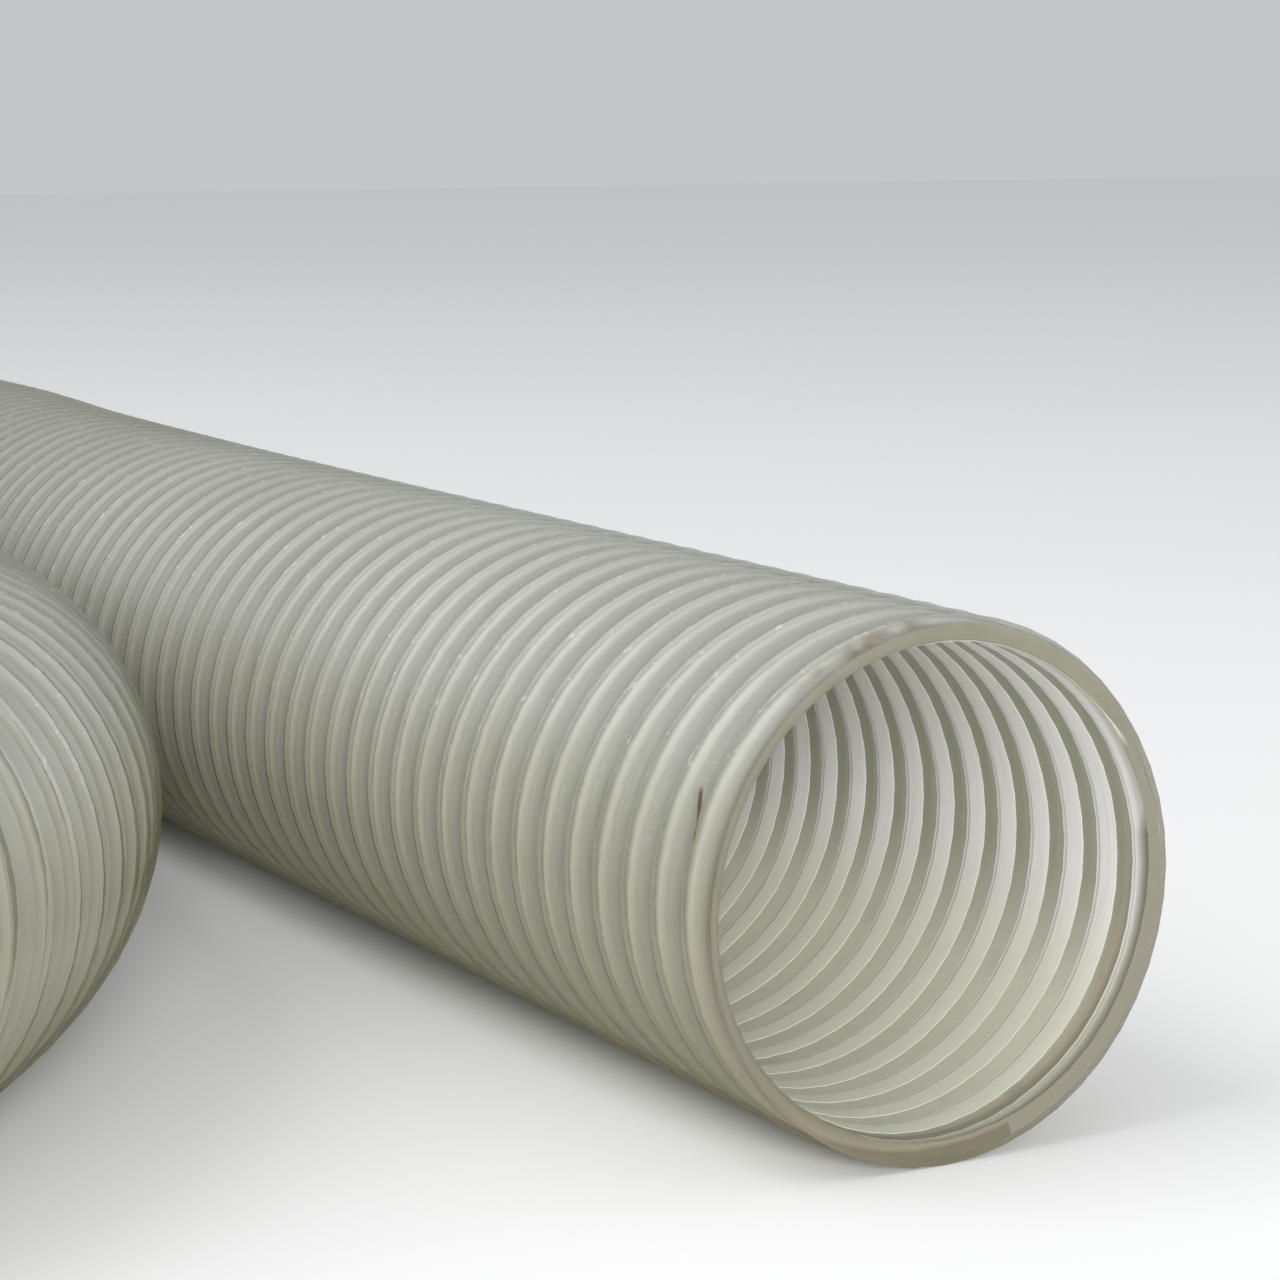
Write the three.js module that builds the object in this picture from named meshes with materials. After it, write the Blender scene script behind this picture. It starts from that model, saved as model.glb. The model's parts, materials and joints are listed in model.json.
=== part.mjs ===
// Clear dust collection hose, nominal 100 mm bore, a ten foot length lying in a loose coil on the floor.
// A flexible clear PVC wall is carried by one rigid white PVC helix that runs inside it from end to end.
// Millimetres, +Z up, floor at z = 0. The near mouth opens along +X and the far mouth along -X.

import * as THREE from 'three';

// Hose
const hoseLength = 3048;
const boreDiameter = 100;
const helixHeight = 3.9;
const helixWidth = 6.7;
const wallThickness = 1.0;
const fitClearance = 0.3;

// Helix along the hose
const helixPitch = 11.8;
const helixEndMargin = 0.8;
// 1 winds counter-clockwise, seen from the near mouth, as it runs away: a left-hand helix
const helixHand = 1;

// Faceting
const wallSides = 16;
const helixSegmentsPerTurn = 8;
const stationSpacing = 54;

// Route of the hose's centreline on the floor: [x, y]. The hose fills its last part, up to the far end,
// and the first leg is a straight lead-in that a longer hose would reach further along.
const routePoints = [
  [500, 0],
  [0, 0],
  [-102, 0],
  [-203, 0],
  [-305, 0],
  [-406, 2],
  [-508, 6],
  [-609, 14],
  [-710, 9],
  [-804, -29],
  [-878, -97],
  [-924, -188],
  [-935, -288],
  [-909, -386],
  [-851, -469],
  [-768, -526],
  [-670, -551],
  [-569, -559],
  [-467, -566],
  [-366, -573],
  [-265, -578],
  [-166, -556],
  [-88, -493],
  [-45, -401],
  [-48, -301],
  [-95, -212],
  [-177, -153],
  [-276, -134],
  [-378, -137],
  [-479, -142],
  [-581, -142],
  [-682, -142],
];

// Radii worked out from the section
const boreRadius = boreDiameter / 2;
const helixOuterRadius = boreRadius + helixHeight;
const wallInnerRadius = helixOuterRadius + fitClearance;
const wallOuterRadius = wallInnerRadius + wallThickness;
const flatToCorner = 1 / Math.cos(Math.PI / wallSides);
const cornerAngles = Array.from({ length: wallSides }, (_, j) => ((j + 0.5) * 2 * Math.PI) / wallSides);
const helixStartAngle = cornerAngles[1];

// The centreline, cut into stations with a level frame at each one
function makeStations() {
  const points = routePoints.map(([x, y]) => new THREE.Vector3(x, y, wallOuterRadius));
  const route = new THREE.CatmullRomCurve3(points, false, 'centripetal');
  route.arcLengthDivisions = 2000;
  const leadIn = 1 - hoseLength / route.getLength();
  const steps = Math.round(hoseLength / stationSpacing);
  const up = new THREE.Vector3(0, 0, 1);
  const stations = [];
  for (let i = 0; i <= steps; i += 1) {
    const share = leadIn + (1 - leadIn) * (i / steps);
    const centre = route.getPointAt(share);
    const along = route.getTangentAt(share);
    const across = new THREE.Vector3().crossVectors(along, up).normalize();
    stations.push({ centre, across, up });
  }
  return stations;
}

const stations = makeStations();

// A point on one station's ring. Angle 0 is level, to the right of the hose's travel, and 90 degrees is up.
function ringPoint(station, radius, angle) {
  return station.centre
    .clone()
    .addScaledVector(station.across, radius * Math.cos(angle))
    .addScaledVector(station.up, radius * Math.sin(angle));
}

// A point at a distance along the hose, on the straight line between its two stations
function hosePoint(distance, radius, angle) {
  const position = (distance / hoseLength) * (stations.length - 1);
  const index = Math.min(Math.floor(position), stations.length - 2);
  const start = ringPoint(stations[index], radius, angle);
  const end = ringPoint(stations[index + 1], radius, angle);
  return start.lerp(end, position - index);
}

// Triangles that join a loop of points on each ring to the same loop on the next ring.
// The loop is the ring's points from first on, and the triangles face out of it or into it.
function sleeve(rings, first, size, facesOut) {
  const ringSize = rings[0].length;
  const triangles = [];
  for (let i = 0; i < rings.length - 1; i += 1) {
    for (let j = 0; j < size; j += 1) {
      const a = i * ringSize + first + j;
      const b = i * ringSize + first + ((j + 1) % size);
      const c = b + ringSize;
      const d = a + ringSize;
      triangles.push(...(facesOut ? [a, d, c, a, c, b] : [a, b, c, a, c, d]));
    }
  }
  return triangles;
}

function bodyGeometry(rings, triangles) {
  const positions = rings.flat().flatMap((point) => point.toArray());
  const geometry = new THREE.BufferGeometry();
  geometry.setAttribute('position', new THREE.Float32BufferAttribute(positions, 3));
  geometry.setIndex(triangles);
  geometry.computeVertexNormals();
  return geometry;
}

// The clear wall: a tube whose flats touch the crests' diameter, cut square and open at both ends.
// Each ring holds the outer corners first and the inner corners after them.
function wallGeometry() {
  const radii = [wallOuterRadius * flatToCorner, wallInnerRadius * flatToCorner];
  const rings = stations.map((station) =>
    radii.flatMap((radius) => cornerAngles.map((angle) => ringPoint(station, radius, angle))),
  );
  const triangles = [...sleeve(rings, 0, wallSides, true), ...sleeve(rings, wallSides, wallSides, false)];
  const last = (rings.length - 1) * 2 * wallSides;
  for (let j = 0; j < wallSides; j += 1) {
    const next = (j + 1) % wallSides;
    const [outer, outerNext, inner, innerNext] = [j, next, wallSides + j, wallSides + next];
    triangles.push(outer, outerNext, innerNext, outer, innerNext, inner);
    triangles.push(last + outer, last + innerNext, last + outerNext);
    triangles.push(last + outer, last + inner, last + innerNext);
  }
  return bodyGeometry(rings, triangles);
}

// The rigid helix: a wedge-like bead with its flat face to the bore, wound from end to end.
// Its corners lie in line with the wall's corners, where there is the most room.
function helixGeometry() {
  const halfWidth = helixWidth / 2;
  const start = helixEndMargin + halfWidth;
  const woundLength = hoseLength - 2 * start;
  const segments = Math.floor((woundLength / helixPitch) * helixSegmentsPerTurn);
  const innerCorner = boreRadius * flatToCorner;
  const outerCorner = helixOuterRadius * flatToCorner;
  const rings = [];
  for (let i = 0; i <= segments; i += 1) {
    const turns = i / helixSegmentsPerTurn;
    const angle = helixStartAngle + helixHand * turns * 2 * Math.PI;
    const distance = start + turns * helixPitch;
    rings.push([
      hosePoint(distance - halfWidth, innerCorner, angle),
      hosePoint(distance, outerCorner, angle),
      hosePoint(distance + halfWidth, innerCorner, angle),
    ]);
  }
  const last = (rings.length - 1) * 3;
  const caps = [0, 2, 1, last, last + 1, last + 2];
  return bodyGeometry(rings, [...sleeve(rings, 0, 3, false), ...caps]);
}

const clearPvc = new THREE.MeshStandardMaterial({
  color: 0xb9bca8,
  roughness: 0.25,
  metalness: 0,
  transparent: true,
  opacity: 0.45,
});
const whitePvc = new THREE.MeshStandardMaterial({ color: 0xd8d8cf, roughness: 0.3, metalness: 0 });

function namedMesh(name, geometry, material) {
  const mesh = new THREE.Mesh(geometry, material);
  mesh.name = name;
  return mesh;
}

const hose = new THREE.Group();
hose.add(namedMesh('clear_wall', wallGeometry(), clearPvc));
hose.add(namedMesh('white_helix', helixGeometry(), whitePvc));

// The origin is on the floor, under the middle of the coil
const bounds = new THREE.Box3().setFromObject(hose);
const middle = bounds.getCenter(new THREE.Vector3());
hose.position.set(-middle.x, -middle.y, -bounds.min.z);

export default hose;
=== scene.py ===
# %% [markdown]
# A clear dust collection hose, ten feet long, lies in a loose coil on a pale floor. On the real hose a thin
# clear film carries one rigid white bead, wound as a helix from mouth to mouth, and the film stands up over
# the bead as a round rib. It could be faked with a ribbed bump on a plain tube, but the near mouth is open to
# the camera, so the ribs, the bead and the film's thickness are all real surfaces here.

# %% Load the frame
import json
import math
from types import SimpleNamespace

import bpy
import numpy as np
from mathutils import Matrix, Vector


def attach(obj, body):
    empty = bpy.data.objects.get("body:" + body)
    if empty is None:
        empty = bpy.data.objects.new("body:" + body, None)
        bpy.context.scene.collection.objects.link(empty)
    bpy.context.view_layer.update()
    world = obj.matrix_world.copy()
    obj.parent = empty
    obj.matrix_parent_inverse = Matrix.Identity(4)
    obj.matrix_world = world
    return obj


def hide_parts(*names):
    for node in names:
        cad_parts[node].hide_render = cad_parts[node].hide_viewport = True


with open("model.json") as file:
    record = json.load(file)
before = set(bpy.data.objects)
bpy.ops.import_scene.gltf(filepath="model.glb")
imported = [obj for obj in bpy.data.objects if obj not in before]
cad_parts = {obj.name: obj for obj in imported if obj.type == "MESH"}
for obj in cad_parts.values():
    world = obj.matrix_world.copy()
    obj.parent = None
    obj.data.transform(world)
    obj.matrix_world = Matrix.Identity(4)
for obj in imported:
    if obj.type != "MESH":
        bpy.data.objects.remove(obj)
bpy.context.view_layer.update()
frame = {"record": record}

# %% [markdown]
# Every size of the hose follows from a few real ones. The pieces are measured in metres, as Blender measures,
# and each radius is worked out from the bore, the way a maker's drawing gives it: bore, bead, film.

# %% Sizes of the hose
MM = 0.001
HOSE_LENGTH = 3048 * MM
BORE_RADIUS = 50 * MM
CREST_RADIUS = 55.2 * MM
VALLEY_RADIUS = 53.8 * MM
PITCH = 11.8 * MM
FIRST_RIB = 3.0 * MM
BEAD_WIDTH = 6.7 * MM
BEAD_HEIGHT = 3.9 * MM
AROUND = 48
print("ribs along the hose", round(HOSE_LENGTH / PITCH))

# %% [markdown]
# The hose lies on one smooth line. The line passes through listed points, as a hose is laid by hand, and a
# centripetal Catmull-Rom curve joins them, because it never loops or overshoots between uneven points.
# The hose fills the last part of the line, up to its far end.

# %% Points that the hose passes through
ROUTE = np.array([
    (0.500, 0.000), (0.000, 0.000), (-0.102, 0.000), (-0.203, 0.000), (-0.305, 0.000), (-0.406, 0.002),
    (-0.508, 0.006), (-0.609, 0.014), (-0.710, 0.009), (-0.804, -0.029), (-0.878, -0.097),
    (-0.924, -0.188), (-0.935, -0.288), (-0.909, -0.386), (-0.851, -0.469), (-0.768, -0.526),
    (-0.670, -0.551), (-0.569, -0.559), (-0.467, -0.566), (-0.366, -0.573), (-0.265, -0.578),
    (-0.166, -0.556), (-0.088, -0.493), (-0.045, -0.401), (-0.048, -0.301), (-0.095, -0.212),
    (-0.177, -0.153), (-0.276, -0.134), (-0.378, -0.137), (-0.479, -0.142), (-0.581, -0.142),
    (-0.682, -0.142),
])
STEPS_PER_SPAN = 60


def smooth_line(points, steps):
    """A centripetal Catmull-Rom curve through the points, as a fine polyline."""
    ends = [2 * points[0] - points[1], *points, 2 * points[-1] - points[-2]]
    line = []
    for p0, p1, p2, p3 in zip(ends, ends[1:], ends[2:], ends[3:]):
        t1 = np.linalg.norm(p1 - p0) ** 0.5
        t2 = t1 + np.linalg.norm(p2 - p1) ** 0.5
        t3 = t2 + np.linalg.norm(p3 - p2) ** 0.5
        t = np.linspace(t1, t2, steps, endpoint=False)[:, None]
        a1 = p0 + (p1 - p0) * t / t1
        a2 = p1 + (p2 - p1) * (t - t1) / (t2 - t1)
        a3 = p2 + (p3 - p2) * (t - t2) / (t3 - t2)
        b1 = a1 + (a2 - a1) * t / t2
        b2 = a2 + (a3 - a2) * (t - t1) / (t3 - t1)
        line.extend(b1 + (b2 - b1) * (t - t1) / (t2 - t1))
    return np.array([*line, points[-1]])


line = smooth_line(ROUTE, STEPS_PER_SPAN)
line_length = np.concatenate([[0], np.cumsum(np.linalg.norm(np.diff(line, axis=0), axis=1))])
lead_in = line_length[-1] - HOSE_LENGTH
print("line", round(float(line_length[-1]), 4), "m, lead-in", round(float(lead_in), 4), "m")

# %% [markdown]
# The line is slid to where the near mouth is in the frame. The record names that mouth as a mount, so its
# place is read from there and not typed again.

# %% Lay the line in the frame
near_mouth = next(m for m in frame["record"]["mounts"] if m["name"] == "near_mouth")["pos_m"]
near_on_line = np.array([np.interp(lead_in, line_length, line[:, k]) for k in (0, 1)])
line = line + np.array(near_mouth[:2]) - near_on_line
heading = np.unwrap(np.arctan2(*np.gradient(line, axis=0).T[::-1]))
print("near mouth at", np.round(near_mouth[:2], 4))


def hose_point(distance, angle, radius):
    """Points of the hose: distance from the near mouth, angle round the hose, radius from its line.
    Angle 0 is level, to the right of someone who looks into the near mouth, and 90 degrees is up."""
    along = lead_in + distance
    x = np.interp(along, line_length, line[:, 0])
    y = np.interp(along, line_length, line[:, 1])
    turn = np.interp(along, line_length, heading)
    side = radius * np.cos(angle)
    z = CREST_RADIUS + radius * np.sin(angle)
    return np.stack([x + side * np.sin(turn), y - side * np.cos(turn), z], -1)


# %% [markdown]
# The camera stands where the photographer stood: a little above the hose, looking down by nine degrees, with
# the near mouth turned towards it.

# %% Camera
CAMERA_FROM_MOUTH = Vector((0.5288, -0.3687, 0.2098))
CAMERA_YAW = math.radians(60.5)
CAMERA_TILT = math.radians(9.2)
LENS_MM = 94.5

camera = bpy.data.objects.new("camera", bpy.data.cameras.new("camera"))
camera.data.lens = LENS_MM
camera.data.sensor_width = 36
camera.location = Vector((near_mouth[0], near_mouth[1], 0)) + CAMERA_FROM_MOUTH
camera.rotation_euler = (math.pi / 2 - CAMERA_TILT, 0, CAMERA_YAW)
bpy.context.collection.objects.link(camera)
bpy.context.scene.camera = camera
print("camera", [round(c, 3) for c in camera.location])

# %% [markdown]
# Both the film and the bead are helical sheets. A grid of rings would cut across the slanting ribs and leave
# stair steps on them, so the grid itself is helical: row m keeps one place on the rib's profile all the way
# round, and after one turn it becomes the row one pitch further on. The grid starts before the hose and ends
# past it. The ends are cut square by holding every row at the cut, and the faces that fold up are dropped.

# %% A helical sheet, cut square at both ends
TURNS_PAST_EACH_END = 2
HAIR = 1e-7


def helical_grid(phases, cut):
    """Distances and angles of a helical grid: one row for each phase of each turn, AROUND columns."""
    turns = int(math.ceil(HOSE_LENGTH / PITCH)) + 2 * TURNS_PAST_EACH_END
    rows = (np.arange(turns)[:, None] - TURNS_PAST_EACH_END + np.array(phases)[None, :]).ravel()
    share = np.arange(AROUND) / AROUND
    distance = FIRST_RIB + PITCH * (rows[:, None] + share[None, :])
    angle = np.broadcast_to(2 * math.pi * share, distance.shape)
    phase = np.broadcast_to(np.tile(phases, turns)[:, None], distance.shape)
    held = np.clip(distance, cut(angle), HOSE_LENGTH)
    return held, angle, phase + (held - distance) / PITCH


def helical_faces(row_count, per_turn, outward=True):
    """Quads of the helical grid. Past its last column a row goes on as the row one turn further."""
    row, column = np.meshgrid(np.arange(row_count - per_turn - 1), np.arange(AROUND), indexing="ij")
    wrap = (column + 1) // AROUND
    here = row * AROUND + column
    beside = (row + wrap * per_turn) * AROUND + (column + 1) % AROUND
    quads = np.stack([here, here + AROUND, beside + AROUND, beside], -1).reshape(-1, 4)
    return quads if outward else quads[:, ::-1]


print("columns of the grid in one turn", AROUND)

# %% [markdown]
# A mesh made from numbers can be handed to Blender in one go, which is far quicker than adding points one by
# one. Each point also carries values for its finish to read, such as how high it stands on a rib. Points in
# one place are joined first: without that the smooth shading would break along every seam.

# %% Meshes from numbers
def mesh_object(name, points, faces, attributes, crease):
    """A mesh from numpy arrays, smooth up to the crease angle. attributes holds a value for each point."""
    mesh = bpy.data.meshes.new(name)
    mesh.from_pydata(points.tolist(), [], [tuple(f) for f in faces])
    for key, values in attributes.items():
        kind, field = ("FLOAT_VECTOR", "vector") if values.ndim == 2 else ("FLOAT", "value")
        layer = mesh.attributes.new(key, kind, "POINT")
        layer.data.foreach_set(field, values.astype(np.float32).ravel())
    mesh.validate()
    mesh.shade_smooth()
    mesh.set_sharp_from_angle(angle=math.radians(crease))
    piece = bpy.data.objects.new(name, mesh)
    bpy.context.collection.objects.link(piece)
    print(name, len(mesh.polygons), "faces")
    return piece


def weld(points, faces, attributes):
    """Joins points that lie in one place, and drops the faces that folded up there."""
    _, first, group = np.unique(np.round(points, 7), axis=0, return_index=True, return_inverse=True)
    faces = group.ravel()[faces]
    kept = []
    for face in faces.tolist():
        corners = [c for c, before in zip(face, [face[-1], *face[:-1]]) if c != before]
        if len(corners) > 2 and len(set(corners)) == len(corners):
            kept.append(corners)
    return points[first], kept, {key: values[first] for key, values in attributes.items()}


def places_on_hose(distance, angle, radius):
    """Points of the hose, and where they would be if it were pulled out straight along x."""
    points = hose_point(distance, angle, radius).reshape(-1, 3)
    straight = np.stack([distance, radius * np.cos(angle), radius * np.sin(angle)], -1).reshape(-1, 3)
    return points, straight


def ring_faces(count, size):
    """Quads between rings of one size, listed one ring after another."""
    ring, side = np.meshgrid(np.arange(count - 1), np.arange(size), indexing="ij")
    here, beside = ring * size + side, ring * size + (side + 1) % size
    return np.stack([here, here + size, beside + size, beside], -1).reshape(-1, 4)


# %% [markdown]
# The near mouth was cut with a knife, so its edge wanders by half a millimetre or so. A few slow waves round
# the edge give that, and they are the same for the film and the bead, which were cut in one go. The rigid
# bead doesn't give under the knife as the film does, so it is left a hair longer. Each wave is given as how
# many of it go round the edge, its size and where it starts.

# %% The cut at the near mouth
CUT_WAVES = ((2, 0.35 * MM, 0.6), (3, 0.22 * MM, 2.1), (7, 0.10 * MM, 4.0))
BEAD_LEFT_LONGER = 0.12 * MM


def knife_cut(angle):
    """How far in from the frame's mouth the film is cut, at an angle round it."""
    depth = BEAD_LEFT_LONGER + sum(size for _, size, _ in CUT_WAVES)
    return depth + sum(size * np.sin(waves * angle + start) for waves, size, start in CUT_WAVES)


print("cut wanders by", round(2 * float(knife_cut(np.linspace(0, 2 * math.pi, 99)).std()) / MM, 2), "mm")

# %% [markdown]
# The film is one closed shell. Outside it stands up over the bead as a low round rib, and between ribs it is
# almost flat. Seven rows are enough for a rib when they sit where its profile turns, and smooth shading does
# the rest. Their phases are shares of the pitch, with 0 on the crest. Inside it is flush with the bead.

# %% Skins of the clear film
RIB_PHASES = [-0.5, -0.27, -0.18, -0.07, 0.07, 0.18, 0.27]
RIB_HALF_WIDTH = 0.27
RIB_ROUNDNESS = 1.4
FILM_BORE_RADIUS = BORE_RADIUS + 0.15 * MM


def rib_height(phase):
    """Height of the film's outer profile, from 0 in the valley to 1 on the crest."""
    reach = np.abs((phase + 0.5) % 1 - 0.5) / RIB_HALF_WIDTH
    return np.cos(0.5 * math.pi * np.clip(reach, 0, 1)) ** RIB_ROUNDNESS


def film_values(distance, angle, radius, height):
    """Points of the film, and the values that its material reads there."""
    points, straight = places_on_hose(distance, angle, radius)
    at_cut = (distance <= knife_cut(angle) + HAIR) | (distance >= HOSE_LENGTH - HAIR)
    return points, {"straight": straight, "rib": height.ravel(), "cut": at_cut.ravel().astype(float)}


def outer_skin():
    """The outside, ribbed, from cut to cut."""
    distance, angle, phase = helical_grid(RIB_PHASES, knife_cut)
    height = rib_height(phase)
    radius = VALLEY_RADIUS + (CREST_RADIUS - VALLEY_RADIUS) * height
    faces = helical_faces(len(distance), len(RIB_PHASES))
    return *film_values(distance, angle, radius, height), faces


def inner_skin():
    """The smooth inside, from where the lip starts to the far cut."""
    distance, angle, _ = helical_grid([0.0], lambda around: knife_cut(around) + lip_length(around))
    radius = np.full(distance.shape, FILM_BORE_RADIUS)
    faces = helical_faces(len(distance), 1, outward=False)
    return *film_values(distance, angle, radius, 0 * radius), faces


print("ribs stand", round((CREST_RADIUS - VALLEY_RADIUS) / MM, 2), "mm above the valleys")

# %% [markdown]
# At the near mouth the bead is still some way in on part of the round. Nothing holds the soft film there, so
# it opens out into a thin lip. The lip is as long as the bead is far away, so it dies out where the bead
# reaches the cut, between two angles in radians. It is made of plain rings, because the helical rows are too
# far apart to round it. The steps are shares of its length, closer together near the edge.

# %% Lip of the film at the near mouth
LIP_LONGEST = 4.5 * MM
LIP_SHORTEST = 0.4 * MM
LIP_SLOPE = 0.55
LIP_STEPS = (1.0, 0.72, 0.46, 0.24, 0.08, 0.0)
BEAD_REACHES_CUT = (4.15, 4.75)


def lip_length(angle):
    """How far in from the cut the bead starts, at an angle round the mouth."""
    round_mouth = angle % (2 * math.pi)
    bead_edge = FIRST_RIB + PITCH * round_mouth / (2 * math.pi) - 0.5 * BEAD_WIDTH
    free = np.clip(bead_edge - knife_cut(angle), LIP_SHORTEST, LIP_LONGEST)
    return np.interp(round_mouth, BEAD_REACHES_CUT, (1, 0)) * (free - LIP_SHORTEST) + LIP_SHORTEST


def lip_skin():
    """The inside of the near lip, ring by ring out to the cut. It opens less where the bead holds it."""
    angle = np.broadcast_to(2 * math.pi * np.arange(AROUND) / AROUND, (len(LIP_STEPS), AROUND))
    share = np.array(LIP_STEPS)[:, None]
    distance = knife_cut(angle) + lip_length(angle) * share
    radius = FILM_BORE_RADIUS + LIP_SLOPE * lip_length(angle) * (1 - share) ** 2
    return *film_values(distance, angle, radius, 0 * radius), ring_faces(len(LIP_STEPS), AROUND)


print("lip is up to", round(float(lip_length(np.linspace(0, 2 * math.pi, 99)).max()) / MM, 1), "mm long")

# %% [markdown]
# The three skins become one closed mesh. The lip's first ring and the inner skin's first row lie in one
# place, so joining points closes that seam, and a flat ring of faces closes the wall at each cut. A closed
# wall is worth the care: light then passes through two surfaces, as it does through a real film.

# %% Clear film
FILM_CREASE = 55


def make_film():
    """The film's skins, joined by a flat cut edge at each mouth."""
    points, values, faces, starts = [], [], [], [0]
    for skin_points, skin_values, skin_faces in (outer_skin(), inner_skin(), lip_skin()):
        points.append(skin_points)
        values.append(skin_values)
        faces.append(skin_faces + starts[-1])
        starts.append(starts[-1] + len(skin_points))
    here = np.arange(AROUND)
    beside = (here + 1) % AROUND
    lip_edge = starts[3] - AROUND
    near_edge = np.stack([here, beside, lip_edge + beside, lip_edge + here], -1)
    outer_end, inner_end = starts[1] - AROUND, starts[2] - AROUND
    far_edge = np.stack([outer_end + here, inner_end + here, inner_end + beside, outer_end + beside], -1)
    faces = np.concatenate([*faces, near_edge, far_edge])
    values = {key: np.concatenate([skin[key] for skin in values]) for key in values[0]}
    return mesh_object("clear_film", *weld(np.concatenate(points), faces, values), crease=FILM_CREASE)


film = make_film()

# %% [markdown]
# The bead is a closed section carried along the same helix. Its face to the bore is flat, stands a little
# proud of the film, and has the narrow ledge along one edge that the extruder leaves. It wanders a little, as
# a bead that was laid down soft does. It starts in a taper, and where the knife went through it, the section
# is sliced at the cut: its top and its bottom both end there, on their own outlines, and the short side that
# joins them is the cut face. A corner of the section is a place across the bead, as a share of its width with
# 0 in the middle, and a height above the bore.

# %% Section of the white bead
BEAD_TOP = [(-0.50, 0.05 * MM), (-0.34, 0.78 * BEAD_HEIGHT), (0.00, BEAD_HEIGHT),
            (0.34, 0.78 * BEAD_HEIGHT), (0.50, 0.10 * MM)]
BEAD_FACE = [(-0.50, 0.05 * MM), (-0.36, -0.04 * MM), (0.30, -0.06 * MM), (0.40, 0.08 * MM),
             (0.50, 0.10 * MM)]
BEAD_FIRST_TURN = -0.31
BEAD_TAPER = 5.0
EDGE_WAVES = ((2.3, 0.018, 0.4), (5.9, 0.014, 1.9), (13.7, 0.010, 3.1))


def bead_outline(corners, turn):
    """One side of the section at each turn: distances, radii, and 1 where it is sliced off."""
    share, height = np.array(corners).T
    angle = 2 * math.pi * turn
    wander = sum(size * np.sin(waves * angle + start) for waves, size, start in EDGE_WAVES)
    middle = FIRST_RIB + PITCH * turn + BEAD_WIDTH * wander
    near = (knife_cut(angle) - BEAD_LEFT_LONGER - middle) / BEAD_WIDTH
    near = np.maximum(near, 0.5 - BEAD_TAPER * (turn - BEAD_FIRST_TURN))
    far = (HOSE_LENGTH - middle) / BEAD_WIDTH
    sliced = np.clip(share + 0 * turn, near, far)
    cut = (sliced != share).astype(float)
    return middle + sliced * BEAD_WIDTH, BORE_RADIUS + np.interp(sliced, share, height), cut


print("section of the bead has", len(BEAD_TOP) + len(BEAD_FACE), "corners")

# %% [markdown]
# The sweep takes one step for each column of the film, so that the bead and the rib over it bend alike. Its
# quads are those of plain rings, turned over so that they face out of the bead. Creases are kept at nine
# degrees: the flat face then meets its ledge in a crisp line, while the small turn from one step to the next
# stays smooth.

# %% White bead
BEAD_CREASE = 9
TURNED_OVER = [0, 3, 2, 1]


def close_tips(rows):
    """The rows with one more at each end, where the section shrinks to its middle."""
    return np.concatenate([0 * rows[:1] + rows[0].mean(), rows, 0 * rows[:1] + rows[-1].mean()])


def make_bead():
    """The bead's section swept along the helix, one step for each column of the film."""
    first_step = round(AROUND * BEAD_FIRST_TURN)
    last_step = math.floor(AROUND * (HOSE_LENGTH + 0.5 * BEAD_WIDTH - FIRST_RIB) / PITCH)
    turn = np.arange(first_step, last_step + 1)[:, None] / AROUND
    sides = zip(bead_outline(BEAD_TOP, turn), bead_outline(BEAD_FACE, turn))
    outline = [np.concatenate([above, below[:, ::-1]], axis=1) for above, below in sides]
    distance, radius, cut = (close_tips(rows) for rows in outline)
    angle = 2 * math.pi * turn[[0, *range(len(turn)), -1]] + 0 * distance
    points, straight = places_on_hose(distance, angle, radius)
    faces = ring_faces(*distance.shape)[:, TURNED_OVER]
    values = {"straight": straight, "cut": cut.ravel()}
    return mesh_object("white_bead", *weld(points, faces, values), crease=BEAD_CREASE)


bead = make_bead()

# %% [markdown]
# Both pieces take the place of the plain solids of the frame.

# %% Tie the pieces to the frame
for piece, node, slot in ((film, "clear_wall", "clear_pvc"), (bead, "white_helix", "white_pvc")):
    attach(piece, "root")
    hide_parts(node)
print("pieces", [o.name for o in (film, bead)])

PATH_STEP = 20 * MM
path_distance = np.linspace(0, HOSE_LENGTH, int(HOSE_LENGTH / PATH_STEP))
path = hose_point(path_distance, np.zeros(len(path_distance)), np.zeros(len(path_distance)))
print("path has", len(path), "points")

# %% [markdown]
# A finish is easier to read as a short list of nodes and links. This helper makes a material with its output
# and hands back a function that adds nodes to it.

# %% Helper for finishes
def new_finish(name):
    """An empty material, a function that adds a node with its settings, and the output's surface socket."""
    material = bpy.data.materials.new(name)
    material.use_nodes = True
    tree = material.node_tree
    tree.nodes.clear()
    output = tree.nodes.new("ShaderNodeOutputMaterial")

    def add(kind, inputs=None, **settings):
        node = tree.nodes.new("ShaderNode" + kind)
        for key, value in settings.items():
            setattr(node, key, value)
        for key, value in (inputs or {}).items():
            if isinstance(value, bpy.types.NodeSocket):
                tree.links.new(value, node.inputs[key])
            else:
                node.inputs[key].default_value = value
        return node

    def finish(surface):
        tree.links.new(surface, output.inputs["Surface"])
        return material

    return add, finish


def ramp(add, value, stops):
    """A colour ramp through (position, colour) stops."""
    node = add("ValToRGB", {"Fac": value})
    elements = node.color_ramp.elements
    while len(elements) < len(stops):
        elements.new(0.5)
    for element, (position, colour) in zip(elements, stops):
        element.position = position
        element.color = (*colour, 1)
    return node.outputs["Color"]


print("nodes are added by kind, such as", "ShaderNode" + "TexNoise")

# %% [markdown]
# Both finishes need to know where they are on the hose. The meshes carry that as an attribute called
# straight: the place of each point if the hose were pulled out straight, with x along it. From there a few
# nodes give the height, the angle round the hose and the radius, and a mark is a product of such ranges.

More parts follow.
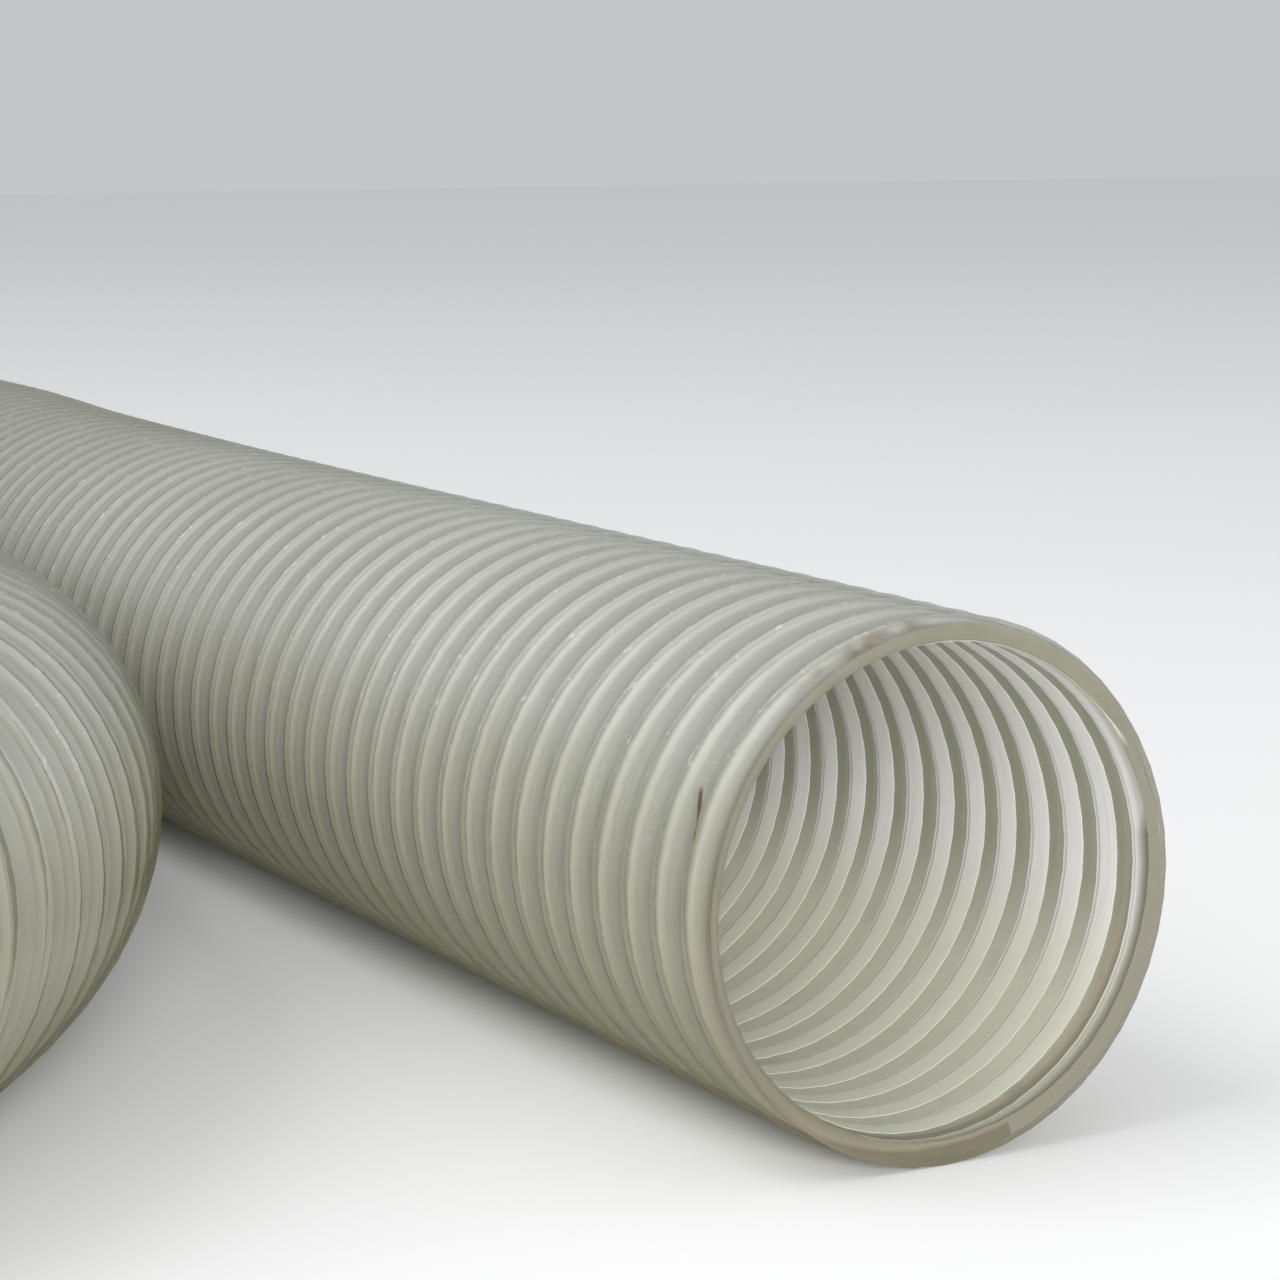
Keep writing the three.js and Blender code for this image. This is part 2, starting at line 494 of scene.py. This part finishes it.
# %% Helpers for places on the hose
def remap(add, value, low, high, bottom=0.0, top=1.0):
    """A clamped range: value from low to high becomes bottom to top."""
    settings = {"Value": value, "From Min": low, "From Max": high, "To Min": bottom, "To Max": top}
    return add("MapRange", settings).outputs["Result"]


def times(add, *factors):
    """The product of masks."""
    product = factors[0]
    for factor in factors[1:]:
        product = add("Math", {0: product, 1: factor}, operation="MULTIPLY").outputs[0]
    return product


def tint(add, factor, colour, other, blend="MIX"):
    """A colour mixed with another one."""
    other = other if isinstance(other, bpy.types.NodeSocket) else (*other, 1)
    mix = add("Mix", {"Factor": factor, "A": colour, "B": other}, data_type="RGBA", blend_type=blend)
    return mix.outputs["Result"]


def noise(add, vector, scale, detail=3.0, roughness=0.55):
    """Soft noise. The scale is in waves for each metre."""
    settings = {"Vector": vector, "Scale": scale, "Detail": detail, "Roughness": roughness}
    return add("TexNoise", settings).outputs["Fac"]


def stretched_noise(add, vector, along, across):
    """Noise drawn out into lines that run round the hose, as an extruder leaves them."""
    drawn = add("Mapping", {"Vector": vector, "Scale": (along, across, across)}).outputs["Vector"]
    return noise(add, drawn, 1.0, 2.0, 0.6)


def arc(add, value, start, full, fade, end):
    """1 between full and fade, and 0 before start and after end."""
    return times(add, remap(add, value, start, full), remap(add, value, end, fade))


def hose_places(add):
    """Sockets for the place on the straightened hose, and for the cut faces."""
    straight = add("Attribute", attribute_name="straight").outputs["Vector"]
    parts = add("SeparateXYZ", {"Vector": straight}).outputs
    angle = add("Math", {0: parts["Z"], 1: parts["Y"]}, operation="ARCTAN2").outputs[0]
    across = add("CombineXYZ", {"Y": parts["Y"], "Z": parts["Z"]}).outputs[0]
    return SimpleNamespace(
        straight=straight, distance=parts["X"], height=parts["Z"], angle=angle,
        radius=add("VectorMath", {0: across}, operation="LENGTH").outputs["Value"],
        cut=add("Attribute", attribute_name="cut").outputs["Fac"],
    )


print("masks are ranges of distance, height, angle and radius on the straightened hose")

# %% [markdown]
# Clear PVC that has been handled is not glass: it is a grey-green milky film that passes light and blurs it.
# It is palest over the bead, and drawn lines run along its valleys. Over its colour lies painted light: a
# painted sheen of the sky on top, painted shade that darkens it towards the bottom, where it is also
# yellower, and small hard painted glints on the upper crests. Seen from inside, the film between two bands is
# a milky olive, partly its own tint and partly painted light for what shows through the film, and painted
# light along the bottom of the bore is broken by darker blotches.

# %% Ground of the film
# Painted sheen and shade: each ramp runs from the top of the hose to its bottom, pale and bluish on top,
# darker and yellower below.
VALLEY_COLOURS_WITH_SHEEN_AND_SHADE = [(0.0, (0.30, 0.31, 0.26)), (0.5, (0.21, 0.215, 0.12)), (1.0, (0.20, 0.185, 0.095))]
CREST_COLOURS_WITH_SHEEN_AND_SHADE = [(0.0, (0.54, 0.56, 0.51)), (0.5, (0.305, 0.30, 0.185)), (1.0, (0.20, 0.18, 0.092))]
CLOUD_SHADE = (0.80, 0.78, 0.70)
FAR_PAINTED_SHADE = (0.78, 0.78, 0.74)
DRAWN_LINE = (0.52, 0.52, 0.40)
PAINTED_CREST_GLINT = (0.90, 0.91, 0.88)
BORE_MILK_AND_PAINTED_LIGHT = (0.36, 0.37, 0.265)
PAINTED_BOTTOM_LIGHT = (0.66, 0.66, 0.54)
BOTTOM_LIGHT_BLOTCH = (0.44, 0.42, 0.40)
CLOUDS, MOTTLE, GRAIN = 9.0, 55.0, 420.0
HOSE_TOP, HOSE_BOTTOM = 45 * MM, -50 * MM


def film_ground(add, hose, rib, mottle, grain):
    """The film's colour with its painted sheen, shade and glints, with the mask of its inside and the mask of
    the painted light along the bottom there.
    """
    clouds = noise(add, hose.straight, CLOUDS)
    streaks = stretched_noise(add, hose.straight, 1300, 28)
    # Painted light: the ramps paint a sheen of the sky on the top of the hose and shade that darkens it
    # towards the bottom.
    low = remap(add, hose.height, HOSE_TOP, HOSE_BOTTOM)
    colour = tint(add, rib, ramp(add, low, VALLEY_COLOURS_WITH_SHEEN_AND_SHADE), ramp(add, low, CREST_COLOURS_WITH_SHEEN_AND_SHADE))
    colour = tint(add, remap(add, clouds, 0.3, 0.7, 0.35, 0.0), colour, CLOUD_SHADE, "MULTIPLY")
    # Painted shade: the film darkens from 150 mm to 450 mm in from the near mouth, as the lamps' light falls
    # off along the hose.
    colour = tint(add, remap(add, hose.distance, 150 * MM, 450 * MM), colour, FAR_PAINTED_SHADE, "MULTIPLY")

    on_outside = remap(add, hose.radius, 50.3 * MM, 50.8 * MM)
    colour = tint(add, times(add, remap(add, streaks, 0.57, 0.70, 0.0, 0.15), on_outside), colour, DRAWN_LINE)
    # Painted highlight: small hard glints on the crests of the upper flank, where the light falls.
    painted_glint_place = times(add, remap(add, rib, 0.6, 0.95), remap(add, hose.height, 5 * MM, 30 * MM))
    colour = tint(add, times(add, remap(add, grain, 0.60, 0.68, 0.0, 0.6), painted_glint_place), colour, PAINTED_CREST_GLINT)

    inside = times(add, remap(add, hose.radius, 50.8 * MM, 50.3 * MM), remap(add, rib, 0.2, 0.0))
    # Partly painted light: the inside of the film is paler than its outside, standing in for the light seen
    # through it; the milky olive tint is its own.
    colour = tint(add, inside, colour, BORE_MILK_AND_PAINTED_LIGHT)
    uneven = remap(add, clouds, 0.25, 0.60, 0.75, 1.0)
    # Painted light: the film inside is paled along the bottom of the bore, which lowers the contrast there.
    bottom_light_mask = times(add, inside, remap(add, hose.height, -6 * MM, -30 * MM), uneven)
    colour = tint(add, bottom_light_mask, colour, PAINTED_BOTTOM_LIGHT)
    # Darker blotches at random break up the painted light along the bottom of the bore.
    colour = tint(add, times(add, bottom_light_mask, remap(add, mottle, 0.60, 0.70, 0.0, 0.5)), colour, BOTTOM_LIGHT_BLOTCH)
    return colour, inside, bottom_light_mask


print("film's colour at the top, the side and the bottom", [colour for _, colour in CREST_COLOURS_WITH_SHEEN_AND_SHADE])

# %% [markdown]
# The first inch has the marks of use: a brown smear on the upper lip, a short scratch across a valley, and a
# lower edge that is worn brown. A mark is a mask made of ranges on the straightened hose, and the scratch is
# thin because its mask is the distance from a slanted line. Each mark is also less clear than the film, so
# each mask is kept, for the finish to make the film more solid there.

# %% Marks near the mouth
SMEAR_ARC = (1.62, 1.75, 2.14, 2.28)
SMEAR = (0.16, 0.105, 0.055)
SCRATCH_ARC = (2.67, 2.70, 2.84, 2.88)
SCRATCH_START = 90.7 * MM
SCRATCH_SLANT = 28.6 * MM
SCRATCH = (0.12, 0.08, 0.02)
WORN_EDGE = (0.25, 0.19, 0.11)
LIP = (0.25, 0.235, 0.17)
FILM_CUT = (0.17, 0.16, 0.115)


def film_marks(add, hose, rib, mottle, colour):
    """The colour with its marks, and the masks of the smear, the scratch and the lip."""
    stained = times(add, remap(add, hose.distance, 6.2 * MM, 4.5 * MM), remap(add, mottle, 0.40, 0.50))
    smear = times(add, arc(add, hose.angle, *SMEAR_ARC), stained)
    colour = tint(add, smear, colour, SMEAR)

    slanted = {0: hose.angle, 1: SCRATCH_SLANT, 2: hose.distance}
    off_line = add("Math", slanted, operation="MULTIPLY_ADD").outputs[0]
    off_line = add("Math", {0: off_line, 1: SCRATCH_START}, operation="SUBTRACT").outputs[0]
    off_line = add("Math", {0: off_line}, operation="ABSOLUTE").outputs[0]
    scratch = times(add, arc(add, hose.angle, *SCRATCH_ARC), remap(add, off_line, 1.0 * MM, 0.5 * MM))
    colour = tint(add, scratch, colour, SCRATCH)

    worn = times(add, remap(add, hose.distance, 14 * MM, 3 * MM),
                 remap(add, hose.height, 20 * MM, -25 * MM, 0.1, 0.9), remap(add, rib, 0.1, 0.9, 1.0, 0.3))
    colour = tint(add, worn, colour, WORN_EDGE)
    lip = times(add, remap(add, hose.distance, 7.0 * MM, 5.5 * MM), remap(add, rib, 0.2, 0.0),
                remap(add, hose.radius, 53.5 * MM, 52.8 * MM))
    colour = tint(add, times(add, lip, 0.8), colour, LIP)
    grubby = remap(add, mottle, 0.3, 0.7, 0.55, 0.95)
    return tint(add, times(add, hose.cut, grubby), colour, FILM_CUT), smear, scratch, lip


print("scratch lies from", [round(math.degrees(a)) for a in SCRATCH_ARC[::3]], "degrees round the hose")

# %% [markdown]
# Bending light through the film would be slow and noisy, and a film this thin hardly shifts what is behind
# it. So it is a gloss surface that is partly open (alpha), mixed with a translucent one that lets light glow
# through. It is clearest over the bead, and more solid inside the bore, under the painted light along its
# bottom, and wherever wear or a cut has clouded it.

# %% Clear film finish
VALLEY_ALPHA, CREST_ALPHA = 0.55, 0.48
PVC_IOR = 1.53
FILM_GLOW = 0.15


def clear_pvc():
    add, finish = new_finish("clear_pvc")
    hose = hose_places(add)
    rib = add("Attribute", attribute_name="rib").outputs["Fac"]
    mottle = noise(add, hose.straight, MOTTLE)
    grain = noise(add, hose.straight, GRAIN, 2.0)
    colour, inside, bottom_light_mask = film_ground(add, hose, rib, mottle, grain)
    colour, smear, scratch, lip = film_marks(add, hose, rib, mottle, colour)
    alpha = remap(add, rib, 0.0, 1.0, VALLEY_ALPHA, CREST_ALPHA)
    # The film is more solid inside, under the painted light along the bottom of the bore, at the lip, at the
    # cuts and under the marks.
    solid = (inside, 0.27), (bottom_light_mask, 0.14), (lip, 0.42), (hose.cut, 0.15), (smear, 0.35), (scratch, 0.50)
    for mask, more in solid:
        clouded = {0: alpha, 1: times(add, mask, more)}
        alpha = add("Math", clouded, operation="ADD", use_clamp=True).outputs[0]
    bump = add("Bump", {"Height": grain, "Strength": 0.12, "Distance": 0.2 * MM})
    surface = add("BsdfPrincipled", {
        "Base Color": colour, "Roughness": remap(add, lip, 0.0, 1.0, 0.24, 0.60), "IOR": PVC_IOR,
        "Alpha": alpha, "Normal": bump.outputs["Normal"],
    })
    glow = add("BsdfTranslucent", {"Color": colour})
    return finish(add("MixShader", {0: FILM_GLOW, 1: surface.outputs[0], 2: glow.outputs[0]}).outputs[0])


film.data.materials.append(clear_pvc())
print("finish of the film", film.data.materials[0].name)

# %% [markdown]
# The bead is rigid white PVC. Light goes a few millimetres into it, which keeps the inside of the hose
# bright, so part of its surface is translucent. It is dulled to a yellow grey along the bottom of the bore,
# painted shade greys it at the near mouth, and its cut face is darker still.

# %% White bead finish
BEAD_COLOURS = [(0.3, (0.85, 0.84, 0.81)), (0.7, (0.92, 0.91, 0.90))]
BEAD_LINE = (0.60, 0.59, 0.54)
BEAD_BOTTOM_DULL = (0.70, 0.70, 0.59)
MOUTH_PAINTED_SHADE = (0.42, 0.41, 0.33)
BEAD_CUT = (0.20, 0.185, 0.14)
BEAD_GLOW = 0.12


def white_pvc():
    add, finish = new_finish("white_pvc")
    hose = hose_places(add)
    clouds = noise(add, hose.straight, CLOUDS)
    streaks = stretched_noise(add, hose.straight, 1500, 35)
    colour = ramp(add, clouds, BEAD_COLOURS)
    colour = tint(add, remap(add, streaks, 0.45, 0.30, 0.0, 0.35), colour, BEAD_LINE)
    uneven = remap(add, clouds, 0.25, 0.60, 0.70, 1.0)
    # The bead is dulled to a yellow grey along the bottom of the bore, beside the painted light on the film
    # there.
    colour = tint(add, times(add, remap(add, hose.height, -6 * MM, -30 * MM), uneven), colour, BEAD_BOTTOM_DULL)
    # Painted shade: the bead is greyed over its last few millimetres at the near mouth, which dims its bright
    # taper there.
    colour = tint(add, remap(add, hose.distance, 4.5 * MM, 2.0 * MM, 0.0, 0.7), colour, MOUTH_PAINTED_SHADE)
    colour = tint(add, hose.cut, colour, BEAD_CUT)
    bump = add("Bump", {"Height": streaks, "Strength": 0.25, "Distance": 0.2 * MM})
    surface = add("BsdfPrincipled", {
        "Base Color": colour, "Roughness": 0.32, "IOR": PVC_IOR, "Normal": bump.outputs["Normal"],
    })
    glow = add("BsdfTranslucent", {"Color": colour})
    return finish(add("MixShader", {0: BEAD_GLOW, 1: surface.outputs[0], 2: glow.outputs[0]}).outputs[0])


bead.data.materials.append(white_pvc())
print("finish of the bead", bead.data.materials[0].name)

# %% [markdown]
# The studio is plain: a pale floor that runs on past the picture, and a soft pale sky that is nearly the same
# tone. The floor is quite matt, because a shiny one would mirror the sky and show where it ends.

# %% Floor
FLOOR_REACH = 6.0
FLOOR_COLOUR = (0.93, 0.93, 0.92, 1)


def make_floor():
    mesh = bpy.data.meshes.new("floor")
    far = FLOOR_REACH
    mesh.from_pydata([(-far, -far, 0), (far, -far, 0), (far, far, 0), (-far, far, 0)], [], [(0, 1, 2, 3)])
    floor = bpy.data.objects.new("floor", mesh)
    bpy.context.collection.objects.link(floor)
    add, finish = new_finish("floor")
    matt = {"Base Color": FLOOR_COLOUR, "Roughness": 1.0, "Specular IOR Level": 0.0}
    mesh.materials.append(finish(add("BsdfPrincipled", matt).outputs[0]))
    return floor


make_floor()
print("floor reaches", FLOOR_REACH, "m each way")

# %% [markdown]
# Two soft lamps do the rest. The key stands above and to the left, as in the photograph, and draws the
# highlights along the ribs. The other stands far off and nearly in line with the near mouth, because only
# light from there gets deep into the bore and lights its bands evenly.

# %% Light
LOOK_BACK = 0.2
LOOK_UP = 0.05
SKY_COLOUR = (0.89, 0.91, 0.94, 1)
SKY_STRENGTH = 0.62


def make_lamp(name, place, size, power):
    """A soft square lamp that faces the near stretch of the hose."""
    lamp = bpy.data.objects.new(name, bpy.data.lights.new(name, "AREA"))
    lamp.data.shape = "SQUARE"
    lamp.data.size = size
    lamp.data.energy = power
    lamp.location = place
    target = Vector((near_mouth[0] - LOOK_BACK, near_mouth[1], LOOK_UP))
    lamp.rotation_euler = (target - lamp.location).to_track_quat("-Z", "Y").to_euler()
    lamp.visible_camera = False
    bpy.context.collection.objects.link(lamp)


make_lamp("key_lamp", Vector((0.1, -1.4, 2.0)), size=1.8, power=24)
make_lamp("fill_lamp", Vector((3.2, -0.70, 0.75)), size=1.2, power=110)
world = bpy.data.worlds.new("studio")
world.use_nodes = True
sky = world.node_tree.nodes["Background"].inputs
sky["Color"].default_value = SKY_COLOUR
sky["Strength"].default_value = SKY_STRENGTH
bpy.context.scene.world = world
bpy.context.scene.view_settings.view_transform = "Standard"
